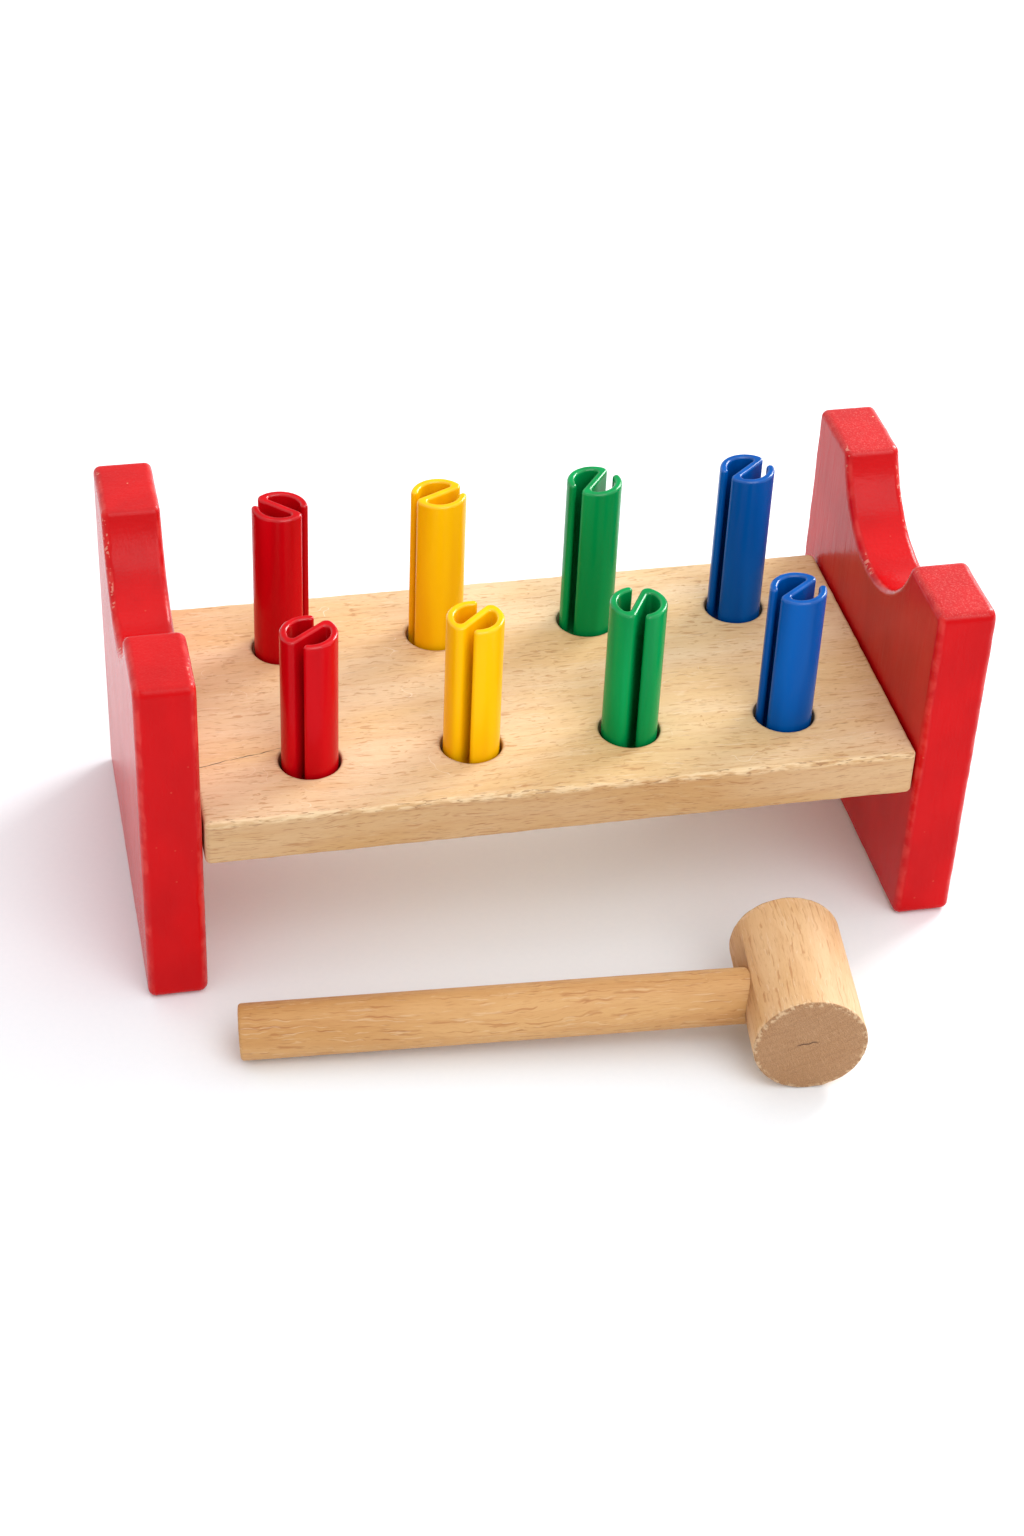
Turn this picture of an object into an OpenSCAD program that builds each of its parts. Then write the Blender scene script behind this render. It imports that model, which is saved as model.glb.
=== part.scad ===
// Toy pounding bench with mallet.
// Two end panels carry a drilled board at half their height, so the bench works either way up.
// Eight springy pegs are driven down through the board with a wooden mallet.

/* [Bench] */
// Length of the bench over both end panels
bench_len = 225; // [190:1:300]
// Depth of an end panel, front to back
panel_depth = 108; // [100:1:150]
// Height of an end panel
panel_h = 102; // [94:1:140]
// Thickness of an end panel
panel_t = 16; // [14:0.5:24]
// Radius of the round notch in the top edge of a panel
notch_r = 30; // [20:0.5:36]
// Depth of the notch below the top edge
notch_depth = 21; // [12:0.5:26]
// Radius that rounds the edges of a panel
panel_edge = 1.8; // [0.5:0.1:3]

/* [Board] */
// Depth of the board, front to back
board_depth = 98; // [90:1:140]
// Thickness of the board
board_t = 13.5; // [11:0.5:20]
// Distance of the board's front edge behind the panels' front edges
board_inset = 0.5; // [0.5:0.5:6]
// Gap between each end of the board and its panel
joint_gap = 0.5; // [0.2:0.1:1.5]
// Radius that rounds the edges of the board
board_edge = 1.2; // [0.4:0.1:2]
// Distance between holes along the board
hole_pitch = 43.5; // [30:0.5:44]
// Distance between the front and the back row of holes
row_pitch = 52; // [30:0.5:60]
// Bevel on both rims of a hole
rim_bevel = 0.5; // [0.2:0.1:1]

/* [Pegs] */
// Outer diameter of a peg
peg_d = 15.2; // [12:0.1:20]
// Wall of the S-shaped peg section
peg_wall = 2.1; // [1.6:0.1:2.8]
// Width of the two slots in the peg section
slot_w = 2.3; // [1.5:0.1:3.5]
// Clearance between a peg and its hole, all round
peg_clear = 0.75; // [0.3:0.05:1]
// Gap left above the floor when a peg is driven flush with the board
peg_floor_gap = 0.75; // [0.5:0.05:3]
// Depth that the front pegs have been driven in, from the top of the board
front_peg_in = 15.5; // [8:0.5:20]
// Depth that the back pegs have been driven in, from the top of the board
back_peg_in = 10.5; // [6:0.5:20]

/* [Dowels] */
// Diameter of a joint dowel
dowel_d = 6; // [5:0.5:8]
// Length of a joint dowel
dowel_len = 22; // [16:0.5:30]
// Depth that a dowel reaches into a panel
dowel_grip = 10; // [7:0.5:11]
// Glue space beyond each end of a dowel
glue_space = 1; // [0.5:0.1:2]
// Distance between the two dowels of one joint
dowel_pitch = 56; // [40:1:70]

/* [Mallet] */
// Diameter of the mallet head
head_d = 30; // [26:0.5:40]
// Length of the mallet head
head_len = 42; // [36:0.5:60]
// Diameter of the handle
handle_d = 15; // [10:0.5:18]
// Length of handle that shows outside the head
handle_reach = 132; // [90:1:170]
// Depth that the handle reaches past the middle of the head
handle_past = 7; // [2:0.5:9]
// Radius that rounds the edges of the head
head_edge = 0.8; // [0.3:0.1:2]
// Bevel on the free end of the handle
handle_bevel = 1; // [0.4:0.1:2]
// Middle of the head, measured to the right from the middle of the bench
head_right = 54.5; // [20:0.5:70]
// Middle of the head, measured forward from the front of the bench
head_front = 41; // [30:0.5:80]
// Turn of the mallet on the floor
mallet_turn = -6.6; // [-20:0.1:20]

/* [Hidden] */
$fn = 64;

// The origin is on the floor, in the middle of the box around bench and mallet.
head_half = (head_len / 2 - head_edge) * cos(mallet_turn)
    + (head_d / 2 - head_edge) * abs(sin(mallet_turn)) + head_edge;
front_reach = head_front + head_half;
bench_y = front_reach / 2;
head_y = bench_y - panel_depth / 2 - head_front;

// Bench
panel_x = (bench_len - panel_t) / 2;
notch_z = panel_h - notch_depth + notch_r;
horn_r = panel_edge;
horn_y = sqrt(pow(notch_r + horn_r, 2) - pow(notch_z - panel_h + horn_r, 2));
board_len = bench_len - 2 * panel_t - 2 * joint_gap;
board_y = bench_y - panel_depth / 2 + board_inset + board_depth / 2;
board_z = panel_h / 2;
board_top = board_z + board_t / 2;

// Pegs: long enough that one driven flush from above stands proud again once the bench is turned over.
peg_len = board_top - peg_floor_gap;
hole_d = peg_d + 2 * peg_clear;
slot_turn = asin((peg_wall + slot_w) / (peg_d - peg_wall));

// Mallet: the head lies on its side and the free end of the handle rests on the floor.
handle_out = head_d / 2 + handle_reach;
mallet_tilt = asin(head_d / 2 / norm([handle_out, handle_d / 2])) - atan(handle_d / 2 / handle_out);

RED_PAINT = [0.82, 0.12, 0.13];
BEECH = [0.86, 0.71, 0.53];
PALE_BEECH = [0.85, 0.69, 0.47];
PEG_RED = [0.78, 0.02, 0.07];
PEG_YELLOW = [0.99, 0.79, 0.04];
PEG_GREEN = [0.02, 0.55, 0.28];
PEG_BLUE = [0.02, 0.31, 0.68];

HOLE_X = [for (i = [0:3]) (i - 1.5) * hole_pitch];
FRONT_ROW_Y = board_y - row_pitch / 2;
BACK_ROW_Y = board_y + row_pitch / 2;
DOWEL_Y = [board_y - dowel_pitch / 2, board_y + dowel_pitch / 2];

// Turns what is drawn along X so that it runs along Y, with -Y and -Z turned to -Z and -X.
module along_y() {
    rotate([90, 0, 90]) children();
}

// Turns what is drawn along X so that it runs along Z, with -Y and -Z turned to -X and -Y.
module along_z() {
    along_y() along_y() children();
}

// What a rounded edge loses: a bar along X, with the sharp corner on the axis and the wood at -Y and -Z.
module edge_waste(length, r) {
    difference() {
        translate([-length / 2, -r, -r]) cube([length, r + 1, r + 1]);
        translate([-length / 2 - 1, -r, -r]) rotate([0, 90, 0]) cylinder(r = r, h = length + 2);
    }
}

// What all twelve edges of a block lose. The block is centred on the origin.
module block_waste(size, r) {
    for (a = [0, 1], b = [0, 1]) {
        mirror([0, a, 0]) mirror([0, 0, b]) translate([0, size[1] / 2, size[2] / 2])
            edge_waste(size[0] + 2, r);
        mirror([a, 0, 0]) mirror([0, 0, b]) translate([size[0] / 2, 0, size[2] / 2])
            along_y() edge_waste(size[1] + 2, r);
        mirror([a, 0, 0]) mirror([0, b, 0]) translate([size[0] / 2, size[1] / 2, 0])
            along_z() edge_waste(size[2] + 2, r);
    }
}

// Side outline of an end panel, with the notch and its two rounded horns. The bottom edge is on the axis.
module panel_outline() {
    horn_mid = [horn_y, panel_h - horn_r];
    toward_notch = ([0, notch_z] - horn_mid) / (notch_r + horn_r);
    difference() {
        translate([-panel_depth / 2, 0]) square([panel_depth, panel_h]);
        translate([0, notch_z]) circle(r = notch_r);
        for (side = [0, 1]) mirror([side, 0])
            difference() {
                polygon([horn_mid, horn_mid + 2 * horn_r * toward_notch,
                         [horn_y - 2 * horn_r, panel_h + 1], [horn_y, panel_h + 1]]);
                translate(horn_mid) circle(r = horn_r);
            }
    }
}

// What the curved edge of the notch loses on one face of the panel.
module notch_waste() {
    translate([0, 0, notch_z]) rotate([0, 90, 0])
        rotate_extrude() translate([notch_r, panel_t / 2]) difference() {
            translate([-1, -panel_edge]) square(panel_edge + 1);
            translate([panel_edge, -panel_edge]) circle(r = panel_edge);
        }
}

// An end panel whose inner face looks along +X, with two blind dowel holes.
module end_panel() {
    difference() {
        translate([-panel_t / 2, bench_y, 0]) rotate([90, 0, 90])
            linear_extrude(panel_t) panel_outline();
        translate([0, bench_y, 0]) {
            translate([0, 0, panel_h / 2]) block_waste([panel_t, panel_depth, panel_h], panel_edge);
            notch_waste();
            mirror([1, 0, 0]) notch_waste();
        }
        for (y = DOWEL_Y)
            translate([panel_t / 2 - dowel_grip - glue_space, y, board_z]) rotate([0, 90, 0])
                cylinder(d = dowel_d, h = dowel_grip + glue_space + 1);
    }
}

module left_end_panel() {
    color(RED_PAINT) translate([-panel_x, 0, 0]) end_panel();
}

module right_end_panel() {
    color(RED_PAINT) mirror([1, 0, 0]) translate([-panel_x, 0, 0]) end_panel();
}

// One round hole through the board, bevelled on both rims.
module peg_hole() {
    cylinder(d = hole_d, h = board_t + 2, center = true);
    for (side = [0, 1]) mirror([0, 0, side])
        translate([0, 0, board_t / 2 - rim_bevel])
            cylinder(d1 = hole_d, d2 = hole_d + 4 * rim_bevel, h = 2 * rim_bevel);
}

module peg_board() {
    dowel_hole = dowel_len - dowel_grip - joint_gap + glue_space;
    color(BEECH) difference() {
        translate([0, board_y, board_z]) difference() {
            cube([board_len, board_depth, board_t], center = true);
            block_waste([board_len, board_depth, board_t], board_edge);
        }
        for (x = HOLE_X, y = [FRONT_ROW_Y, BACK_ROW_Y])
            translate([x, y, board_z]) peg_hole();
        for (side = [0, 1], y = DOWEL_Y) mirror([side, 0, 0])
            translate([board_len / 2 - dowel_hole, y, board_z]) rotate([0, 90, 0])
                cylinder(d = dowel_d, h = dowel_hole + 1);
    }
}

// A dowel of the left joint: dowel_grip of its length is in the panel and the rest in the board.
module joint_dowel(y) {
    color(PALE_BEECH) translate([panel_t - bench_len / 2 - dowel_grip, y, board_z])
        rotate([0, 90, 0]) cylinder(d = dowel_d, h = dowel_len);
}

module left_front_dowel() { joint_dowel(DOWEL_Y[0]); }
module left_back_dowel() { joint_dowel(DOWEL_Y[1]); }
module right_front_dowel() { mirror([1, 0, 0]) joint_dowel(DOWEL_Y[0]); }
module right_back_dowel() { mirror([1, 0, 0]) joint_dowel(DOWEL_Y[1]); }

// Half of the S section: a curled lobe, from its free lip round to the web. The web lies along X.
module peg_lobe() {
    reach = peg_d;
    lip_y = peg_wall / 2 + slot_w;
    intersection() {
        difference() {
            circle(d = peg_d);
            circle(d = peg_d - 2 * peg_wall);
        }
        polygon([[0, lip_y], [reach, lip_y], [reach, reach], [-reach, reach],
                 [-reach, -peg_wall / 2], [0, -peg_wall / 2]]);
    }
}

// The S section, turned so that its two slots face +X and -X.
module peg_section() {
    rotate(-slot_turn) {
        for (half = [0, 180]) rotate(half) peg_lobe();
        square([peg_d - peg_wall, peg_wall], center = true);
    }
}

// One peg, turned about its own axis, standing in its hole. A flipped peg is the same rod, other end up.
module peg(x, y, driven_in, turn, flipped) {
    translate([x, y, board_top - driven_in]) rotate(turn) mirror([0, flipped ? 1 : 0, 0])
        linear_extrude(peg_len) peg_section();
}

module red_peg_front() { color(PEG_RED) peg(HOLE_X[0], FRONT_ROW_Y, front_peg_in, 57, false); }
module yellow_peg_front() { color(PEG_YELLOW) peg(HOLE_X[1], FRONT_ROW_Y, front_peg_in, 62, false); }
module green_peg_front() { color(PEG_GREEN) peg(HOLE_X[2], FRONT_ROW_Y, front_peg_in, 79, false); }
module blue_peg_front() { color(PEG_BLUE) peg(HOLE_X[3], FRONT_ROW_Y, front_peg_in, 17, true); }
module red_peg_back() { color(PEG_RED) peg(HOLE_X[0], BACK_ROW_Y, back_peg_in, -25, false); }
module yellow_peg_back() { color(PEG_YELLOW) peg(HOLE_X[1], BACK_ROW_Y, back_peg_in, 7, true); }
module green_peg_back() { color(PEG_GREEN) peg(HOLE_X[2], BACK_ROW_Y, back_peg_in, 33, true); }
module blue_peg_back() { color(PEG_BLUE) peg(HOLE_X[3], BACK_ROW_Y, back_peg_in, 21, true); }

// Places a mallet drawn with its head along Y and its handle along -X, both through the origin.
module lay_mallet() {
    translate([head_right, head_y, head_d / 2]) rotate(mallet_turn) rotate([0, -mallet_tilt, 0]) children();
}

// A rod along Y, centred on the origin, with rounded rims.
module rounded_rod(d, length, r) {
    rotate([90, 0, 0]) rotate_extrude() {
        translate([0, -length / 2]) square([d / 2 - r, length]);
        translate([0, -length / 2 + r]) square([d / 2, length - 2 * r]);
        for (end = [-1, 1]) translate([d / 2 - r, end * (length / 2 - r)])
            intersection() {
                circle(r = r);
                translate([0, -r]) square([r, 2 * r]);
            }
    }
}

module mallet_head() {
    color(PALE_BEECH) lay_mallet() difference() {
        rounded_rod(head_d, head_len, head_edge);
        translate([-head_d, 0, 0]) rotate([0, 90, 0])
            cylinder(d = handle_d, h = head_d + handle_past + glue_space);
    }
}

module mallet_handle() {
    color(PALE_BEECH) lay_mallet() translate([-handle_out, 0, 0]) rotate([0, 90, 0]) {
        cylinder(d1 = handle_d - 2 * handle_bevel, d2 = handle_d, h = handle_bevel);
        translate([0, 0, handle_bevel])
            cylinder(d = handle_d, h = handle_out + handle_past - handle_bevel);
    }
}

left_end_panel();
right_end_panel();
peg_board();
left_front_dowel();
left_back_dowel();
right_front_dowel();
right_back_dowel();
red_peg_front();
yellow_peg_front();
green_peg_front();
blue_peg_front();
red_peg_back();
yellow_peg_back();
green_peg_back();
blue_peg_back();
mallet_head();
mallet_handle();
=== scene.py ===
# %% [markdown]
# # A pounding bench and its mallet
#
# Two red end panels carry a drilled beech board at half their height. Eight springy plastic pegs stand
# in the holes of the board, and a small beech mallet drives them down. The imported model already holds
# every size, place and slide, so this lesson only makes what the eye sees: rounded and worn edges,
# paint, wood and plastic.

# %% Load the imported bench
import math

import bpy
from mathutils import Matrix, Quaternion, Vector


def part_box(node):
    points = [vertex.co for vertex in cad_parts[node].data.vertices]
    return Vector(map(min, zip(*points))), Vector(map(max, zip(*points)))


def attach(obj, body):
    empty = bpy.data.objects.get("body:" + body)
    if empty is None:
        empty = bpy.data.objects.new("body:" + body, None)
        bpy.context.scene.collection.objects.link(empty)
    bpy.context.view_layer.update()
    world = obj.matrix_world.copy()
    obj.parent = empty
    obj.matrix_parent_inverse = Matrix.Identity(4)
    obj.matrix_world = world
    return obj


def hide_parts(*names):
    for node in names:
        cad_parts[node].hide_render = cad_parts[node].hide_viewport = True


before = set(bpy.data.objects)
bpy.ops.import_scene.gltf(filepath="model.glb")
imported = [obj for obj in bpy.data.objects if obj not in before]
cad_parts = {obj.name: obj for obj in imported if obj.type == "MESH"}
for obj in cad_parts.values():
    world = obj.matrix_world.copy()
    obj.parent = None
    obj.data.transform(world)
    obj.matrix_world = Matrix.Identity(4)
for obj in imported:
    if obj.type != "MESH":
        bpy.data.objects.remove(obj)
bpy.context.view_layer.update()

MM = 0.001

# %% [markdown]
# ## Where the eye stands
#
# The bench is seen from the front, a little to its left and from well above, so that the board shows
# its whole top and every peg stands clear. A camera could be placed by eye, but then nobody could say
# where it is. Here it is given as a studio would note it down: a point to aim at, two angles, a
# distance, a lens and a slight tilt of the head.

# %% Set up the camera
LENS = 65.9
DISTANCE = 783 * MM
AZIMUTH = math.radians(13.5)
ELEVATION = math.radians(37.9)
ROLL = math.radians(2.7)
AIM_SHIFT = Vector((-5.9, -12.5, -17.3)) * MM


def middle(*nodes):
    """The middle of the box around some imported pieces."""
    corners = [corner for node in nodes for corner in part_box(node)]
    low = [min(corner[axis] for corner in corners) for axis in range(3)]
    high = [max(corner[axis] for corner in corners) for axis in range(3)]
    return (Vector(low) + Vector(high)) / 2


bench_middle = middle("left_end_panel", "right_end_panel")
aim = bench_middle + AIM_SHIFT
toward_eye = Vector((-math.sin(AZIMUTH) * math.cos(ELEVATION),
                     -math.cos(AZIMUTH) * math.cos(ELEVATION),
                     math.sin(ELEVATION)))

camera = bpy.data.objects.new("camera", bpy.data.cameras.new("camera"))
camera.data.lens = LENS
camera.data.clip_start = 0.01
camera.location = aim + toward_eye * DISTANCE
camera.rotation_mode = "QUATERNION"
camera.rotation_quaternion = (-toward_eye).to_track_quat("-Z", "Y") @ Quaternion((0, 0, 1), ROLL)
bpy.context.scene.collection.objects.link(camera)
bpy.context.scene.camera = camera
print("camera at", [round(value, 3) for value in camera.location], "m")

# %% [markdown]
# ## Writing node trees as sums
#
# Materials and Geometry Nodes are both trees of nodes. Placed one by one they take many lines, and a
# mask such as `rim * (1 - chips)` is hard to see among them. So one small class wraps a socket and
# turns Python's operators into Math nodes, and one method adds every other kind of node from its type,
# its settings and its inputs.

# %% A socket that can be added and multiplied
class Socket:
    """An output of a node. Sums and products of it add Math nodes to the same tree."""

    def __init__(self, graph, output):
        self.graph = graph
        self.output = output

    def also(self, name):
        """Another output of the same node."""
        return Socket(self.graph, self.output.node.outputs[name])

    def math(self, operation, *others):
        """Any other Math node on this socket."""
        return self.graph.sum_up(operation, self, *others)

    def __add__(self, other):
        return self.math("ADD", other)

    def __radd__(self, other):
        return self.graph.sum_up("ADD", other, self)

    def __sub__(self, other):
        return self.math("SUBTRACT", other)

    def __rsub__(self, other):
        return self.graph.sum_up("SUBTRACT", other, self)

    def __mul__(self, other):
        return self.math("MULTIPLY", other)

    def __rmul__(self, other):
        return self.graph.sum_up("MULTIPLY", other, self)

    def __truediv__(self, other):
        return self.math("DIVIDE", other)

    def __rtruediv__(self, other):
        return self.graph.sum_up("DIVIDE", other, self)

    def __gt__(self, other):
        return self.math("GREATER_THAN", other)

    def __lt__(self, other):
        return self.math("LESS_THAN", other)

    def __pow__(self, other):
        return self.math("POWER", other)

    def __abs__(self):
        return self.math("ABSOLUTE")


# %% A tree that takes any node
class Graph:
    """A node tree. node() adds one node and gives back one of its outputs."""

    def __init__(self, tree):
        self.tree = tree

    def node(self, kind, settings=None, inputs=None, output=0):
        """Adds a node: its type, its settings, its inputs and which output to give back."""
        made = self.tree.nodes.new(kind)
        for name, value in (settings or {}).items():
            setattr(made, name, value)
        for name, value in (inputs or {}).items():
            self.feed(self.find(made.inputs, name), value)
        return Socket(self, self.find(made.outputs, output))

    def sum_up(self, operation, *operands):
        """A Math node on sockets and plain numbers."""
        return self.node("ShaderNodeMath", {"operation": operation}, dict(enumerate(operands)))

    def find(self, sockets, name):
        """A socket by its number, its identifier or its name."""
        if isinstance(name, int):
            return sockets[name]
        exact = [socket for socket in sockets if socket.identifier == name]
        return exact[0] if exact else sockets[name]

    def feed(self, socket, value):
        """Links an output to an input, links a list of outputs, or sets a plain value."""
        if isinstance(value, list):
            for part in value:
                self.tree.links.new(part.output, socket)
        elif isinstance(value, Socket):
            self.tree.links.new(value.output, socket)
        else:
            socket.default_value = value


# %% [markdown]
# ## One tree for every sawn, moulded or turned piece
#
# A panel, the board, a peg, the mallet head and its handle are all the same kind of shape: a flat
# outline carried straight through a thickness, with rounded rims. A Bevel modifier on an extruded
# outline would do, but its rims are all alike and it stumbles over the tight lips of the pegs. Here a
# tree sweeps the outline itself. Each point of the outline carries the radius of its rim, so that a
# hole can be crisper than the outside, and slow noise makes the radius wander as it does on a piece
# that has been sanded and knocked about.
#
# The outline runs with the material on its left, and the swept band has these rows from one face to the
# other: a narrow flat land, the steps of the rim, a row that holds the wall straight, and the same
# again on the far side. The two faces are then filled from the open edges of the band. The land keeps
# the big flat faces evenly lit, because the rounding never reaches their corners.

# %% Build the rounded slab tree
RIM_STEPS = 5
ROWS_PER_SIDE = RIM_STEPS + 3
LAST_ROW = 2 * ROWS_PER_SIDE - 1

SLAB_INPUTS = {
    "Outline": "NodeSocketObject",
    "Half height": "NodeSocketFloat",
    "Land": "NodeSocketFloat",
    "Wear": "NodeSocketFloat",
    "Wear size": "NodeSocketFloat",
    "Seed": "NodeSocketFloat",
    "Finish": "NodeSocketMaterial",
}


def keep(graph, geometry, name, kind, value):
    """Writes a value on every point of a geometry under a name."""
    return graph.node("GeometryNodeStoreNamedAttribute", {"data_type": kind, "domain": "POINT"},
                      {"Geometry": geometry, "Name": name, "Value": value})


def kept(graph, name, kind):
    """Reads back what keep() wrote."""
    return graph.node("GeometryNodeInputNamedAttribute", {"data_type": kind}, {"Name": name})


def scaled(graph, vector, amount):
    """A vector times a number."""
    return graph.node("ShaderNodeVectorMath", {"operation": "SCALE"}, {0: vector, "Scale": amount})


def summed(graph, first, second):
    """The sum of two vectors."""
    return graph.node("ShaderNodeVectorMath", {"operation": "ADD"}, {0: first, 1: second})


def build_slab_tree():
    """The tree that sweeps an outline into a slab with rounded, wandering rims."""
    tree = bpy.data.node_groups.new("rounded slab", "GeometryNodeTree")
    tree.interface.new_socket("Geometry", in_out="INPUT", socket_type="NodeSocketGeometry")
    tree.interface.new_socket("Slab", in_out="OUTPUT", socket_type="NodeSocketGeometry")
    for name, kind in SLAB_INPUTS.items():
        tree.interface.new_socket(name, in_out="INPUT", socket_type=kind)
    graph = Graph(tree)
    size = graph.node("NodeGroupInput")

    outline = graph.node("GeometryNodeObjectInfo", {"transform_space": "ORIGINAL"},
                         {"Object": size.also("Outline")}, "Geometry")
    inward = graph.node("ShaderNodeVectorMath", {"operation": "CROSS_PRODUCT"},
                        {0: (0.0, 0.0, 1.0), 1: graph.node("GeometryNodeInputTangent")})
    outline = keep(graph, outline, "rim radius", "FLOAT", graph.node("GeometryNodeInputRadius"))
    outline = keep(graph, outline, "inward", "FLOAT_VECTOR", inward)
    outline = keep(graph, outline, "home", "FLOAT_VECTOR", graph.node("GeometryNodeInputPosition"))

    ladder = graph.node("GeometryNodeMeshLine", {}, {"Count": LAST_ROW + 1, "Offset": (0.0, 0.0, MM)})
    ladder = keep(graph, ladder, "row", "FLOAT", graph.node("GeometryNodeInputIndex"))
    ladder = graph.node("GeometryNodeMeshToCurve", {}, {"Mesh": ladder})
    band = graph.node("GeometryNodeCurveToMesh", {}, {"Curve": outline, "Profile Curve": ladder})

    row = kept(graph, "row", "FLOAT")
    step = row.math("MINIMUM", LAST_ROW - row)
    side = 1 - 2 * (row > LAST_ROW / 2)
    angle = ((step - 1) / RIM_STEPS).math("MAXIMUM", 0.0).math("MINIMUM", 1.0) * (math.pi / 2)
    on_land = step < 0.5
    on_wall = step > RIM_STEPS + 1.5

    home = kept(graph, "home", "FLOAT_VECTOR")
    up = graph.node("ShaderNodeCombineXYZ", {}, {"Z": side * size.also("Half height")})
    spot = scaled(graph, summed(graph, home, up), 1 / size.also("Wear size"))
    noise = graph.node("ShaderNodeTexNoise", {"noise_dimensions": "4D"},
                       {"Vector": spot, "W": size.also("Seed"), "Scale": 1.0, "Detail": 2.0}, 0)
    radius = kept(graph, "rim radius", "FLOAT") * (1 + size.also("Wear") * (2 * noise - 1))

    inset = radius * (1 - angle.math("SINE")) + on_land * size.also("Land")
    drop = radius * (1 - angle.math("COSINE")) + on_wall * size.also("Land")
    height = graph.node("ShaderNodeCombineXYZ", {}, {"Z": side * (size.also("Half height") - drop)})
    moved = summed(graph, home, scaled(graph, kept(graph, "inward", "FLOAT_VECTOR"), inset))
    moved = summed(graph, moved, height)
    band = graph.node("GeometryNodeSetPosition", {}, {"Geometry": band, "Position": moved})
    band = keep(graph, band, "rim", "FLOAT", (2 * angle).math("SINE"))

    open_edge = graph.node("GeometryNodeInputMeshEdgeNeighbors") < 1.5
    altitude = graph.node("ShaderNodeSeparateXYZ", {}, {0: graph.node("GeometryNodeInputPosition")}, "Z")
    faces = []
    for direction in (1, -1):
        loop = graph.node("GeometryNodeMeshToCurve", {},
                          {"Mesh": band, "Selection": open_edge * (direction * altitude > 0.0)})
        face = graph.node("GeometryNodeFillCurve", {"mode": "NGONS"}, {"Curve": loop})
        level = graph.node("ShaderNodeCombineXYZ", {}, {"Z": direction * size.also("Half height")})
        face = graph.node("GeometryNodeSetPosition", {}, {"Geometry": face, "Offset": level})
        if direction < 0:
            face = graph.node("GeometryNodeFlipFaces", {}, {"Mesh": face})
        faces.append(face)

    slab = graph.node("GeometryNodeJoinGeometry", {}, {"Geometry": [band] + faces})
    slab = graph.node("GeometryNodeMergeByDistance", {}, {"Geometry": slab, "Distance": 0.001 * MM})
    for helper in ("row", "home", "inward", "rim radius"):
        slab = graph.node("GeometryNodeRemoveAttribute", {}, {"Geometry": slab, "Name": helper})
    slab = graph.node("GeometryNodeSetShadeSmooth", {}, {"Geometry": slab})
    slab = graph.node("GeometryNodeRealizeInstances", {}, {"Geometry": slab})
    slab = graph.node("GeometryNodeSetMaterial", {}, {"Geometry": slab, "Material": size.also("Finish")})
    tree.links.new(slab.output, tree.nodes.new("NodeGroupOutput").inputs["Slab"])
    return tree


slab_tree = build_slab_tree()
print("rounded slab tree:", len(slab_tree.nodes), "nodes")

# %% [markdown]
# ## From outline to mesh
#
# An outline is drawn in millimetres as arcs and straight runs. Long straight runs get extra points, so
# that the noise has something to move. The outline becomes a curve, an empty mesh carries the tree as a
# modifier, and the evaluated result is copied to a plain mesh and put in its place. The modifier then
# goes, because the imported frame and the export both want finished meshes.

# %% Draw outlines
POINT_GAP = 1.4
ARC_STEP = 6.0


def arc(x, y, radius, start, end):
    """Points along an arc round (x, y), in degrees. It runs clockwise when end is below start."""
    count = math.ceil(max(abs(end - start) / ARC_STEP, math.radians(abs(end - start)) * radius / POINT_GAP))
    angles = [math.radians(start + (end - start) * i / count) for i in range(count + 1)]
    return [(x + radius * math.cos(a), y + radius * math.sin(a)) for a in angles]


def closed(points, gap=POINT_GAP):
    """The points as a closed outline, with doubles dropped and long straight runs divided."""
    outline = []
    for i, (x, y) in enumerate(points):
        next_x, next_y = points[(i + 1) % len(points)]
        length = math.hypot(next_x - x, next_y - y)
        if length < 0.02:
            continue
        count = max(1, round(length / gap))
        outline += [(x + (next_x - x) * k / count, y + (next_y - y) * k / count) for k in range(count)]
    return outline


def draw(name, splines):
    """A curve object from closed outlines, each with the radius of its rim, in millimetres."""
    curve = bpy.data.curves.new(name, "CURVE")
    curve.dimensions = "3D"
    for points, rim in splines:
        spline = curve.splines.new("POLY")
        spline.points.add(len(points) - 1)
        for point, (x, y) in zip(spline.points, points):
            point.co = (x * MM, y * MM, 0.0, 1.0)
            point.radius = rim * MM
        spline.use_cyclic_u = True
    drawn = bpy.data.objects.new(name, curve)
    bpy.context.scene.collection.objects.link(drawn)
    return drawn


# %% Cut slabs
def cut_slab(name, splines, thickness, finish, place, land=0.3, wear=0.0, wear_size=6.0, seed=0.0):
    """Sweeps outlines into a slab of some thickness, all in millimetres, and puts the mesh in its place."""
    outline = draw(name + "_outline", splines)
    piece = bpy.data.objects.new(name, bpy.data.meshes.new(name))
    bpy.context.scene.collection.objects.link(piece)
    values = {"Outline": outline, "Half height": thickness / 2 * MM, "Land": land * MM, "Wear": wear,
              "Wear size": wear_size * MM, "Seed": seed, "Finish": finish}
    sweep = piece.modifiers.new("sweep", "NODES")
    sweep.node_group = slab_tree
    for item in slab_tree.interface.items_tree:
        if item.name in values:
            sweep[item.identifier] = values[item.name]
    swept = piece.evaluated_get(bpy.context.evaluated_depsgraph_get())
    mesh = bpy.data.meshes.new_from_object(swept)
    piece.modifiers.remove(sweep)
    piece.data = mesh
    mesh.name = name
    mesh.transform(place)
    bpy.data.objects.remove(outline)
    return piece


# %% Say what was made
import bmesh


def clear_corner(rim, land, wear):
    """The smallest corner of an outline that rim and land never close up, however far the rim wanders."""
    return rim * (1 + 0.6 * wear) + land + 0.05


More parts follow.
